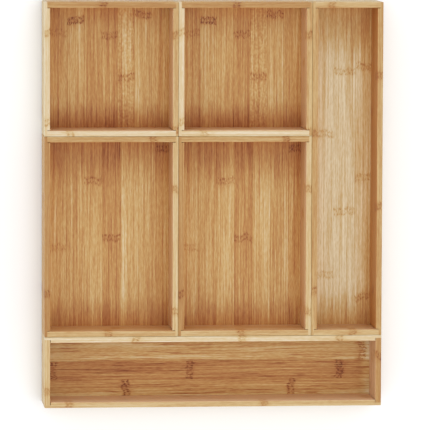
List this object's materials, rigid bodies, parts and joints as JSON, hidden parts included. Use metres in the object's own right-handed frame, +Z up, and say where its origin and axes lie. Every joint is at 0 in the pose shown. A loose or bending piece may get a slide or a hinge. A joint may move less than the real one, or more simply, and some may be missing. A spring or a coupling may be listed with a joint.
{
  "type": "desk organizer",
  "caption": "Set of open-topped bamboo boxes, square, oblong and narrow, that stand side by side and fill a drawer or desktop.",
  "frame": {"origin": "under the middle of the whole set, on the surface that it stands on", "axes": "+X to the right, +Y to the back and +Z up; the narrow front tray runs along X, and the narrow side tray and the boxes run along Y"},
  "size_m": [0.3864, 0.4626, 0.0635],
  "materials": {
    "bamboo_pale": "satin natural bamboo, palest boards",
    "bamboo_gold": "satin natural bamboo, light gold boards",
    "bamboo_honey": "satin carbonised bamboo, honey boards",
    "bamboo_amber": "satin carbonised bamboo, amber floor panels with darker knuckles",
    "silicone_pad": "matt translucent silicone"
  },
  "bodies": {
    "small_box_a": {"small_box_a_left_wall": "bamboo_pale", "small_box_a_right_wall": "bamboo_gold", "small_box_a_front_wall": "bamboo_pale", "small_box_a_back_wall": "bamboo_honey", "small_box_a_floor": "bamboo_amber", "small_box_a_pads": "silicone_pad"},
    "small_box_b": {"small_box_b_left_wall": "bamboo_pale", "small_box_b_right_wall": "bamboo_gold", "small_box_b_front_wall": "bamboo_pale", "small_box_b_back_wall": "bamboo_honey", "small_box_b_floor": "bamboo_amber", "small_box_b_pads": "silicone_pad"},
    "medium_box_a": {"medium_box_a_left_wall": "bamboo_honey", "medium_box_a_right_wall": "bamboo_gold", "medium_box_a_front_wall": "bamboo_gold", "medium_box_a_back_wall": "bamboo_honey", "medium_box_a_floor": "bamboo_amber", "medium_box_a_pads": "silicone_pad"},
    "medium_box_b": {"medium_box_b_left_wall": "bamboo_honey", "medium_box_b_right_wall": "bamboo_gold", "medium_box_b_front_wall": "bamboo_gold", "medium_box_b_back_wall": "bamboo_honey", "medium_box_b_floor": "bamboo_amber", "medium_box_b_pads": "silicone_pad"},
    "side_tray": {"side_tray_left_wall": "bamboo_honey", "side_tray_right_wall": "bamboo_honey", "side_tray_front_wall": "bamboo_gold", "side_tray_back_wall": "bamboo_gold", "side_tray_floor": "bamboo_pale", "side_tray_pads": "silicone_pad"},
    "front_tray": {"front_tray_left_wall": "bamboo_gold", "front_tray_right_wall": "bamboo_honey", "front_tray_front_wall": "bamboo_gold", "front_tray_back_wall": "bamboo_pale", "front_tray_floor": "bamboo_amber", "front_tray_pads": "silicone_pad"}
  },
  "joints": [
    {"name": "small_box_a_lift", "type": "slide", "parent": "front_tray", "child": "small_box_a", "axis": [0, 0, 1], "range_m": [0, 0.08]},
    {"name": "small_box_b_lift", "type": "slide", "parent": "front_tray", "child": "small_box_b", "axis": [0, 0, 1], "range_m": [0, 0.08]},
    {"name": "medium_box_a_lift", "type": "slide", "parent": "front_tray", "child": "medium_box_a", "axis": [0, 0, 1], "range_m": [0, 0.08]},
    {"name": "medium_box_b_lift", "type": "slide", "parent": "front_tray", "child": "medium_box_b", "axis": [0, 0, 1], "range_m": [0, 0.08]},
    {"name": "side_tray_lift", "type": "slide", "parent": "front_tray", "child": "side_tray", "axis": [0, 0, 1], "range_m": [0, 0.08]}
  ]
}
